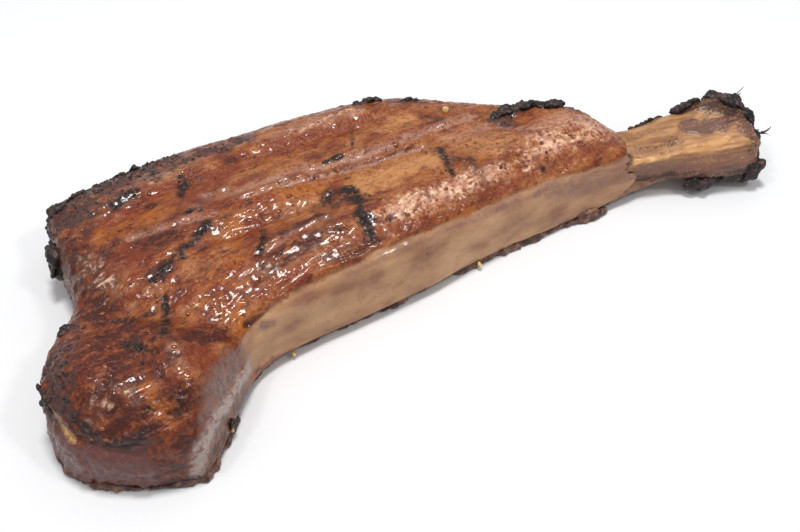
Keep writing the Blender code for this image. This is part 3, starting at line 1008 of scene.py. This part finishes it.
def make_bone(settings):
    mesh = voxel_skin(part_of_bone(settings.start_x, None), settings.voxel)
    mesh.name = "rib_bone_surface"
    places, normals = points_of(mesh)
    x, y, z = places.T
    wobble = lumps(places, 3.5, 3, 51, (2, 1, 1))
    ridge_y = np.interp(x, *np.array(BONE_RIDGE).T)
    back_y = np.interp(x, *np.array(BONE_BACK).T)
    across = (y - ridge_y) / (back_y - ridge_y)
    up = ramp(normals[:, 2], 0.0, 0.5)
    under = ramp(-normals[:, 2], 0.1, 0.6)
    marks = {}
    for kind in ("sinew", "cream", "brown", "char"):
        marks[kind] = zones(places, [row[1:] for row in BONE_MARKS if row[0] == kind], 0.6 * wobble)
        if kind in ("sinew", "cream"):
            marks[kind] = marks[kind] * up
    marks["char"] = np.maximum(marks["char"], under * ramp(x, 108, 120) * (0.6 + 0.5 * wobble))
    marks["char"] = np.maximum(marks["char"], ramp(normals[:, 0], 0.4, 0.8) * ramp(x, 138, 143))
    marks["strip"] = ramp(ridge_y + 0.5 * wobble - y, -0.8, 1.2) * ramp(normals[:, 2], 0.85, 0.3)
    marks["brown"] = np.maximum(marks["brown"], marks["strip"] * ramp(-z, -17, -9) * (0.7 + 0.5 * wobble))
    char, sinew = marks["char"], marks["sinew"]
    streaks = 1 - 2 * np.abs(lumps(places, 2.4, 2, 52, (6, 1, 1)))
    relief = 0.16 * streaks * (1 - char) + 0.6 * lumps(places, 6.0, 2, 55, (2.5, 1, 1))
    relief -= 1.3 * np.exp(-(((across - 0.45) / 0.3) ** 2)) * up * ramp(x, 92, 106)
    relief += 0.8 * np.exp(-(((y - ridge_y) / 1.4) ** 2)) * up
    relief -= 0.8 * np.exp(-(((y - ridge_y + 2.8) / 1.6) ** 2)) * (1 - under)
    relief += 1.2 * ramp(sinew, 0.35, 0.65) * (1 + 0.5 * wobble)
    relief -= 0.6 * ramp(marks["cream"], 0.4, 0.7)
    relief += 0.25 * ramp(marks["brown"], 0.4, 0.8)
    relief += char * (1.3 * pebbles(places, 3.0, 53) + 0.9 * pebbles(places, 1.5, 54) - 0.8)
    move_points(mesh, places + normals * relief[:, None])
    for name, values in marks.items():
        store(mesh, name, values)
    bone = link_object("rib_bone_surface", mesh)
    finished(bone, roasted_bone_material(settings), "roasted_bone", "rib_bone")
    return bone


# ---------------------------------------------------------------- burnt scraps


def burnt_scraps(name, table, voxel, seed, hosts):
    """Crusty lumps: pellets heaped on the surface round each place, melted together and roughened."""
    random = np.random.default_rng(seed)
    shape = bmesh.new()
    for _, centre, spread, count, radius in table:
        for _ in range(count):
            place = Vector(np.array(centre) + random.normal(0, 0.5, 3) * np.array(spread)) * MM
            size = radius * random.uniform(0.55, 1.15)
            nearest = min((host.find_nearest(place) for host in hosts), key=lambda hit: hit[3])
            place = nearest[0] + (place - nearest[0]) * min(1.0, 0.45 * size * MM / nearest[3])
            place.z = max(place.z, 0.8 * MM)
            stretch = Matrix.Diagonal((*random.uniform((1.0, 0.7, 0.35), (1.8, 1.3, 0.75)), 1.0))
            outwards = nearest[1] + Vector(random.normal(0, 0.35, 3))
            turn = outwards.to_track_quat("Z", "Y").to_matrix().to_4x4()
            turn = turn @ Matrix.Rotation(random.uniform(0, math.tau), 4, "Z")
            bmesh.ops.create_icosphere(
                shape,
                subdivisions=2,
                radius=size * MM,
                matrix=Matrix.Translation(place) @ turn @ stretch,
            )
    mesh = voxel_skin(shape, voxel)
    mesh.name = name
    roughen(mesh, 0.7, 3.0, 4, seed)
    return link_object(name, mesh)


def surface_finder(obj):
    shape = bmesh.new()
    shape.from_mesh(obj.data)
    finder = BVHTree.FromBMesh(shape)
    shape.free()
    return finder


# ---------------------------------------------------------------- scattered beads and crumbs


def open_group(name, sockets, result):
    """A new Geometry Nodes tree with its named inputs and its result, and those inputs as outputs to link."""
    tree = bpy.data.node_groups.new(name, "GeometryNodeTree")
    for label, kind in sockets:
        tree.interface.new_socket(label, in_out="INPUT", socket_type=kind)
    tree.interface.new_socket(result, in_out="OUTPUT", socket_type="NodeSocketGeometry")
    return tree, add_node(tree, "NodeGroupInput").node.outputs


def close_group(tree, placed, material, result):
    """Makes the instances real, gives them their material and ends the tree."""
    real = add_node(tree, "GeometryNodeRealizeInstances", {"Geometry": placed})
    dressed = add_node(tree, "GeometryNodeSetMaterial", {"Geometry": real, "Material": material})
    add_node(tree, "NodeGroupOutput", {result: dressed})


def scatter_tree():
    """Geometry Nodes: small flattened drops on the surface, where an attribute asks for them."""
    sockets = (
        ("Surface", "NodeSocketGeometry"),
        ("Where", "NodeSocketString"),
        ("Density", "NodeSocketFloat"),
        ("Spacing", "NodeSocketFloat"),
        ("Smallest", "NodeSocketFloat"),
        ("Largest", "NodeSocketFloat"),
        ("Flatness", "NodeSocketFloat"),
        ("Seed", "NodeSocketInt"),
        ("Material", "NodeSocketMaterial"),
    )
    tree, given = open_group("scattered drops", sockets, "Drops")
    mask = add_node(
        tree, "GeometryNodeInputNamedAttribute", {"Name": given["Where"]}, {"data_type": "FLOAT"}
    )
    scatter = add_node(
        tree,
        "GeometryNodeDistributePointsOnFaces",
        {
            "Mesh": given["Surface"],
            "Distance Min": given["Spacing"],
            "Density Max": given["Density"],
            "Density Factor": mask,
            "Seed": given["Seed"],
        },
        {"distribute_method": "POISSON"},
    ).node
    drop = add_node(tree, "GeometryNodeMeshUVSphere", {"Segments": 8, "Rings": 5, "Radius": 1.0})
    size = add_node(
        tree,
        "FunctionNodeRandomValue",
        {2: given["Smallest"], 3: given["Largest"], "Seed": given["Seed"]},
        {"data_type": "FLOAT"},
        out=1,
    )
    drawn = add_node(
        tree,
        "FunctionNodeRandomValue",
        {2: 0.8, 3: 1.7, "Seed": 3},
        {"data_type": "FLOAT"},
        out=1,
    )
    length = add_node(tree, "ShaderNodeMath", {0: size, 1: drawn}, {"operation": "MULTIPLY"})
    height = add_node(tree, "ShaderNodeMath", {0: size, 1: given["Flatness"]}, {"operation": "MULTIPLY"})
    scale = add_node(tree, "ShaderNodeCombineXYZ", {0: length, 1: size, 2: height})
    placed = add_node(
        tree,
        "GeometryNodeInstanceOnPoints",
        {
            "Points": scatter.outputs["Points"],
            "Instance": drop,
            "Rotation": scatter.outputs["Rotation"],
            "Scale": scale,
        },
    )
    close_group(tree, placed, given["Material"], "Drops")
    return tree


def run_tree(tree, source, values, name):
    """Runs a Geometry Nodes tree on a copy of a mesh or curve and gives the plain mesh it makes."""
    carrier = link_object(name, source.copy())
    live = carrier.modifiers.new("nodes", "NODES")
    live.node_group = tree
    for socket in tree.interface.items_tree:
        if socket.in_out == "INPUT" and socket.name in values:
            live[socket.identifier] = values[socket.name]
    mesh = evaluated_mesh(carrier)
    mesh.name = name
    for layer in [a.name for a in mesh.attributes if a.domain == "POINT" and a.name != "position"]:
        if not mesh.attributes[layer].is_required and not mesh.attributes[layer].is_internal:
            mesh.attributes.remove(mesh.attributes[layer])
    return mesh


# ---------------------------------------------------------------- the foot crust


def foot_outline():
    """Points in mm round the CAD meat just above the floor, anticlockwise seen from above."""
    shape = merged_copy("meat")
    cut = bmesh.ops.bisect_plane(
        shape,
        geom=shape.verts[:] + shape.edges[:] + shape.faces[:],
        plane_co=(0, 0, FOOT_HEIGHT * MM),
        plane_no=(0, 0, 1),
    )
    # a dict keeps the edges in the cut's own order, so that the outline is the same each time
    edges = dict.fromkeys(e for e in cut["geom_cut"] if isinstance(e, bmesh.types.BMEdge))
    loops = []
    while edges:
        edge, _ = edges.popitem()
        loop = [edge.verts[0], edge.verts[1]]
        while True:
            following = [e for e in loop[-1].link_edges if e in edges]
            if not following:
                break
            del edges[following[0]]
            loop.append(following[0].other_vert(loop[-1]))
        loops.append(np.array([v.co / MM for v in loop]))
    shape.free()
    outline = max(loops, key=len)
    x, y = outline[:, 0], outline[:, 1]
    turning = np.sum(x * np.roll(y, -1) - y * np.roll(x, -1))
    return outline if turning > 0 else outline[::-1]


def foot_curve():
    """A curve along the foot of the meat, whose radius says how thick the crust is."""
    outline = foot_outline()
    lifted = outline[:, 0] > FOOT_THICKNESS[-1][0]
    start = next(i for i in range(len(outline)) if lifted[i - 1] and not lifted[i])
    outline = np.roll(outline, -start, axis=0)[: np.count_nonzero(~lifted)]
    steps = np.linalg.norm(np.diff(outline, axis=0), axis=1)
    length = np.concatenate(([0], np.cumsum(steps)))
    even = np.arange(0, length[-1], FOOT_STEP)
    places = np.stack([np.interp(even, length, outline[:, i]) for i in range(3)], axis=1)
    ahead = np.gradient(places, axis=0)
    out = np.stack((ahead[:, 1], -ahead[:, 0], 0 * ahead[:, 0]), axis=1)
    out *= 1.0 / np.linalg.norm(out, axis=1)[:, None]
    on_rib_side = np.interp(places[:, 0], *np.array(FOOT_THICKNESS).T)
    thickness = np.where(places[:, 1] < RIB_SIDE_Y, on_rib_side, PLAIN_CRUST)
    places += 2.0 * (thickness[:, None] - 0.6) * out
    curve = bpy.data.curves.new("foot line", "CURVE")
    curve.dimensions = "3D"
    spline = curve.splines.new("POLY")
    spline.points.add(len(places) - 1)
    for point, place, radius in zip(spline.points, places, thickness):
        point.co = (*(place * MM), 1)
        point.radius = radius
    return curve


def foot_crust_tree():
    """Geometry Nodes: lobes of crust strung along a curve, which swell and fade along it."""
    sockets = (
        ("Foot line", "NodeSocketGeometry"),
        ("Spacing", "NodeSocketFloat"),
        ("Smallest", "NodeSocketVector"),
        ("Largest", "NodeSocketVector"),
        ("Scallop length", "NodeSocketFloat"),
        ("Spread", "NodeSocketFloat"),
        ("Seed", "NodeSocketInt"),
        ("Material", "NodeSocketMaterial"),
    )
    tree, given = open_group("scalloped crust", sockets, "Crust")
    along = add_node(
        tree,
        "GeometryNodeCurveToPoints",
        {"Curve": given["Foot line"], "Length": given["Spacing"]},
        {"mode": "LENGTH"},
    ).node
    back = add_node(tree, "ShaderNodeMath", {0: given["Spread"], 1: -1.0}, {"operation": "MULTIPLY"})
    low = add_node(tree, "ShaderNodeCombineXYZ", {1: back})
    high = add_node(tree, "ShaderNodeCombineXYZ", {1: given["Spread"]})
    shift = add_node(
        tree,
        "FunctionNodeRandomValue",
        {0: low, 1: high, "Seed": given["Seed"]},
        {"data_type": "FLOAT_VECTOR"},
    )
    moved = add_node(tree, "GeometryNodeSetPosition", {"Geometry": along.outputs["Points"], "Offset": shift})
    size = add_node(
        tree,
        "FunctionNodeRandomValue",
        {0: given["Smallest"], 1: given["Largest"], "Seed": given["Seed"]},
        {"data_type": "FLOAT_VECTOR"},
    )
    waves = add_node(tree, "ShaderNodeMath", {0: 1.0, 1: given["Scallop length"]}, {"operation": "DIVIDE"})
    swell = add_node(tree, "ShaderNodeTexNoise", {"Scale": waves, "Detail": 1.0})
    factor = add_node(
        tree,
        "ShaderNodeMapRange",
        {"Value": swell, "From Min": 0.46, "From Max": 0.58, "To Min": 0.55, "To Max": 1.3},
    )
    thick = add_node(tree, "GeometryNodeInputRadius")
    swollen = add_node(tree, "ShaderNodeMath", {0: factor, 1: thick}, {"operation": "MULTIPLY"})
    scaled = add_node(tree, "ShaderNodeVectorMath", {0: size, 3: swollen}, {"operation": "SCALE"})
    lobe = add_node(tree, "GeometryNodeMeshIcoSphere", {"Radius": 1.0, "Subdivisions": 2})
    placed = add_node(
        tree,
        "GeometryNodeInstanceOnPoints",
        {"Points": moved, "Instance": lobe, "Rotation": along.outputs["Rotation"], "Scale": scaled},
    )
    close_group(tree, placed, given["Material"], "Crust")
    return tree


def make_foot_crust(voxel, seed):
    material = small_finish("dried_edge_crust")
    values = {
        "Spacing": 1.6 * MM,
        "Smallest": (1.1 * MM, 1.1 * MM, 1.6 * MM),
        "Largest": (2.3 * MM, 2.6 * MM, 4.0 * MM),
        "Scallop length": 13.0 * MM,
        "Spread": 0.6 * MM,
        "Seed": seed,
        "Material": material,
    }
    lobes = run_tree(foot_crust_tree(), foot_curve(), values, "foot_crust")
    shape = bmesh.new()
    shape.from_mesh(lobes)
    mesh = voxel_skin(shape, voxel)
    mesh.name = "foot_crust"
    roughen(mesh, 0.45, 1.8, 3, seed)
    crust = link_object("foot_crust", mesh)
    finished(crust, material, "grilled_meat")
    return crust


# ---------------------------------------------------------------- strands, flap and fat


def tube(shape, points, radius):
    """Adds a thin closed tube along points in mm that tapers to its tip."""
    sides = 6
    points = [Vector(p) * MM for p in points]
    rings = []
    for i, place in enumerate(points):
        ahead = (points[min(i + 1, len(points) - 1)] - points[max(i - 1, 0)]).normalized()
        across = ahead.orthogonal().normalized()
        other = ahead.cross(across)
        size = radius * MM * (1 - 0.75 * i / (len(points) - 1))
        ring = []
        for k in range(sides):
            turn = math.tau * k / sides
            ring.append(shape.verts.new(place + (across * math.cos(turn) + other * math.sin(turn)) * size))
        rings.append(ring)
    for near, far in zip(rings, rings[1:]):
        for k in range(sides):
            shape.faces.new((near[k], near[(k + 1) % sides], far[(k + 1) % sides], far[k]))
    shape.faces.new(rings[0][::-1])
    shape.faces.new(rings[-1])


def make_strands(seed):
    """Burnt threads of sinew that stand out from the tip of the rib."""
    random = np.random.default_rng(seed)
    shape = bmesh.new()
    roots = [((148, -36, 22), (1, 0.2, 0.2), 5, 3.2), ((147, -50, 16), (1, -0.5, 0.0), 3, 4.4)]
    for root, heading, count, length in roots:
        for _ in range(count):
            place = np.array(root, float) + random.normal(0, 1.2, 3)
            step = np.array(heading, float) + random.normal(0, 0.45, 3)
            step *= length * random.uniform(0.5, 1.2) / (6 * np.linalg.norm(step))
            points = [place]
            for _ in range(6):
                step = step + random.normal(0, 0.12, 3) * np.linalg.norm(step) * 2
                points.append(points[-1] + step)
            tube(shape, points, random.uniform(0.35, 0.6))
    bmesh.ops.recalc_face_normals(shape, faces=shape.faces)
    mesh = mesh_from(shape, "burnt_strands")
    places, _ = points_of(mesh)
    move_points(mesh, places)
    return link_object("burnt_strands", mesh)


def make_flap():
    """The membrane of the side that runs on under the rib as a thin loose strip."""
    shape = bmesh.new()
    length, breadth = 30, 8
    grid = []
    for i in range(length + 1):
        t = i / length
        row = []
        middle = Vector((80 + 27 * t, -39.2 - 4.5 * t * t, 0))
        height = 7.0 * (1 - t) ** 0.9 + 1.2
        for k in range(breadth + 1):
            s = k / breadth
            wave = noise.noise(Vector((i * 0.22, k * 0.35, 2.0)))
            out = 0.9 * math.sin(math.pi * s) + 1.6 * (1 - s) * t + (0.3 + 0.7 * t) * wave
            offset = Vector((0.8 * wave, -out, 1.0 + 6.5 * t + height * s))
            row.append(shape.verts.new((middle + offset) * MM))
        grid.append(row)
    for near, far in zip(grid, grid[1:]):
        for a, b, c, d in zip(near, near[1:], far[1:], far):
            shape.faces.new((a, b, c, d))
    bmesh.ops.recalc_face_normals(shape, faces=shape.faces)
    flap = link_object("peeling_membrane", mesh_from(shape, "peeling_membrane"))
    wall = flap.modifiers.new("thickness", "SOLIDIFY")
    wall.thickness = 0.7 * MM
    wall.offset = 0.0
    soft = flap.modifiers.new("soft", "SUBSURF")
    soft.levels = soft.render_levels = 1
    mesh = evaluated_mesh(flap)
    mesh.name = "peeling_membrane"
    return link_object("peeling_membrane", mesh)


def make_fat_flecks(seed):
    random = np.random.default_rng(seed)
    shape = bmesh.new()
    for x, y, z, radius in FAT_FLECKS:
        stretch = Matrix.Diagonal((*random.uniform(0.7, 1.2, 3), 1.0))
        bmesh.ops.create_icosphere(
            shape,
            subdivisions=3,
            radius=radius * MM,
            matrix=Matrix.Translation(Vector((x, y, z)) * MM) @ stretch,
        )
    mesh = mesh_from(shape, "fat_flecks")
    places, normals = points_of(mesh)
    move_points(mesh, places + normals * (0.35 * lumps(places, 1.5, 2, seed))[:, None])
    return link_object("fat_flecks", mesh)


# ---------------------------------------------------------------- operators


class ChopOperator:
    """What the operators share."""

    bl_options = {"REGISTER", "UNDO"}


class CHOP_OT_meat(ChopOperator, bpy.types.Operator):
    """Makes the grilled and glazed meat over its CAD shape"""

    bl_idname = "chop.meat"
    bl_label = "Make meat"

    def execute(self, context):
        make_meat(context.scene.chop_meat)
        return {"FINISHED"}


class CHOP_OT_bone(ChopOperator, bpy.types.Operator):
    """Makes the bare end of the rib over its CAD shape"""

    bl_idname = "chop.bone"
    bl_label = "Make rib bone"

    def execute(self, context):
        make_bone(context.scene.chop_bone)
        return {"FINISHED"}


class CHOP_OT_scraps(ChopOperator, bpy.types.Operator):
    """Makes the burnt scraps and strands on the meat and on the rib"""

    bl_idname = "chop.scraps"
    bl_label = "Make burnt scraps"

    def execute(self, context):
        settings = context.scene.chop_scraps
        meat = surface_finder(bpy.data.objects["meat_surface"])
        bone = surface_finder(bpy.data.objects["rib_bone_surface"])
        charcoal = small_finish("charred_crust")
        on_meat = burnt_scraps("meat_scraps", MEAT_SCRAPS, settings.voxel, settings.seed, [meat])
        finished(on_meat, charcoal, "grilled_meat")
        on_bone = burnt_scraps("bone_scraps", BONE_SCRAPS, settings.voxel, settings.seed + 1, [bone])
        finished(on_bone, charcoal, "roasted_bone")
        finished(make_strands(settings.seed + 2), charcoal, "roasted_bone")
        return {"FINISHED"}


class CHOP_OT_scatter(ChopOperator, bpy.types.Operator):
    """Scatters beads of glaze and crumbs of char over the meat"""

    bl_idname = "chop.scatter"
    bl_label = "Scatter glaze and crumbs"

    def execute(self, context):
        settings = context.scene.chop_scraps
        tree = scatter_tree()
        surface = bpy.data.objects["meat_surface"].data
        for name, where, finish, density, spacing, smallest, largest, flatness, seed in (
            ("glaze_beads", "wet", "set_sugar_glaze", settings.bead_density, 1.0, 0.3, 0.85, 0.55, 0),
            ("char_crumbs", "burnt", "charred_crust", settings.crumb_density, 0.7, 0.25, 0.6, 0.8, 5),
        ):
            material = small_finish(finish)
            values = {
                "Where": where,
                "Density": density * PER_SQUARE_CM,
                "Spacing": spacing * MM,
                "Smallest": smallest * MM,
                "Largest": largest * MM,
                "Flatness": flatness,
                "Seed": settings.seed + seed,
                "Material": material,
            }
            drops = run_tree(tree, surface, values, name)
            finished(link_object(name, drops), material, "grilled_meat")
        return {"FINISHED"}


class CHOP_OT_edges(ChopOperator, bpy.types.Operator):
    """Makes the crust along the foot, the peeling membrane and the flecks of fat"""

    bl_idname = "chop.edges"
    bl_label = "Make edges"

    def execute(self, context):
        settings = context.scene.chop_scraps
        make_foot_crust(settings.voxel, settings.seed)
        finished(make_flap(), small_finish("dried_membrane"), "grilled_meat")
        finished(make_fat_flecks(settings.seed), small_finish("rendered_fat"), "grilled_meat")
        return {"FINISHED"}


class CHOP_OT_stage(ChopOperator, bpy.types.Operator):
    """Makes the floor, the lights and the camera"""

    bl_idname = "chop.stage"
    bl_label = "Make stage"

    def execute(self, context):
        settings = context.scene.chop_stage
        shape = bmesh.new()
        bmesh.ops.create_grid(shape, x_segments=1, y_segments=1, size=5.0)
        mesh = mesh_from(shape, "floor")
        floor = link_object("floor", mesh)
        mesh.materials.append(small_finish("white_board"))
        make_lights()
        make_camera(settings)
        return {"FINISHED"}


def make_lights():
    """A dim white room, a soft light overhead, and two small ones that make the glaze sparkle."""
    world = bpy.data.worlds.new("white_room")
    bpy.context.scene.world = world
    world.use_nodes = True
    backdrop = world.node_tree.nodes["Background"]
    backdrop.inputs["Color"].default_value = linear("fdfcfc")
    backdrop.inputs["Strength"].default_value = 0.58
    for name, place, size, power in (
        ("overhead softbox", (0.02, 0.04, 1.0), 0.22, 6.2),
        ("sparkle, front", (0.34, -0.50, 0.82), 0.13, 1.5),
        ("sparkle, left", (-0.40, 0.05, 0.85), 0.12, 1.1),
    ):
        light = bpy.data.lights.new(name, "AREA")
        light.shape = "DISK"
        light.size = size
        light.energy = power
        lamp = bpy.data.objects.new(name, light)
        lamp.location = place
        lamp.rotation_euler = (-Vector(place)).to_track_quat("-Z", "Y").to_euler()
        bpy.context.scene.collection.objects.link(lamp)
    view = bpy.context.scene.view_settings
    view.view_transform = "Standard"
    view.gamma = 0.88


def make_camera(settings):
    """Looks down on the chop from the front left."""
    data = bpy.data.cameras.new("camera")
    data.sensor_width = 36.0
    data.lens = 18.0 / math.tan(settings.view_angle / 2)
    camera = bpy.data.objects.new("camera", data)
    towards = Vector((
        math.sin(settings.azimuth) * math.cos(settings.elevation),
        -math.cos(settings.azimuth) * math.cos(settings.elevation),
        math.sin(settings.elevation),
    ))
    target = Vector((-7.6, -20.7, 0)) * MM
    camera.location = target + towards * settings.distance
    camera.rotation_euler = (-towards).to_track_quat("-Z", "Y").to_euler()
    bpy.context.scene.collection.objects.link(camera)
    bpy.context.scene.camera = camera


class CHOP_PT_panel(bpy.types.Panel):
    """Lists the steps of the chop in the 3D view's sidebar"""

    bl_idname = "CHOP_PT_panel"
    bl_label = "Rib chop"
    bl_space_type = "VIEW_3D"
    bl_region_type = "UI"
    bl_category = "Rib chop"

    def draw(self, context):
        for operator in OPERATORS:
            self.layout.operator(operator.bl_idname)


SETTINGS = (
    ("chop_meat", MeatSettings),
    ("chop_bone", BoneSettings),
    ("chop_scraps", ScrapSettings),
    ("chop_stage", StageSettings),
)
OPERATORS = (CHOP_OT_meat, CHOP_OT_bone, CHOP_OT_scraps, CHOP_OT_scatter, CHOP_OT_edges, CHOP_OT_stage)


def register():
    for name, group in SETTINGS:
        bpy.utils.register_class(group)
        setattr(bpy.types.Scene, name, bpy.props.PointerProperty(type=group))
    for operator in OPERATORS:
        bpy.utils.register_class(operator)
    bpy.utils.register_class(CHOP_PT_panel)


def unregister():
    bpy.utils.unregister_class(CHOP_PT_panel)
    for operator in reversed(OPERATORS):
        bpy.utils.unregister_class(operator)
    for name, group in reversed(SETTINGS):
        delattr(bpy.types.Scene, name)
        bpy.utils.unregister_class(group)


def main():
    register()
    bpy.ops.chop.meat()
    bpy.ops.chop.bone()
    bpy.ops.chop.scraps()
    bpy.ops.chop.scatter()
    bpy.ops.chop.edges()
    bpy.ops.chop.stage()


if __name__ == "__main__":
    main()
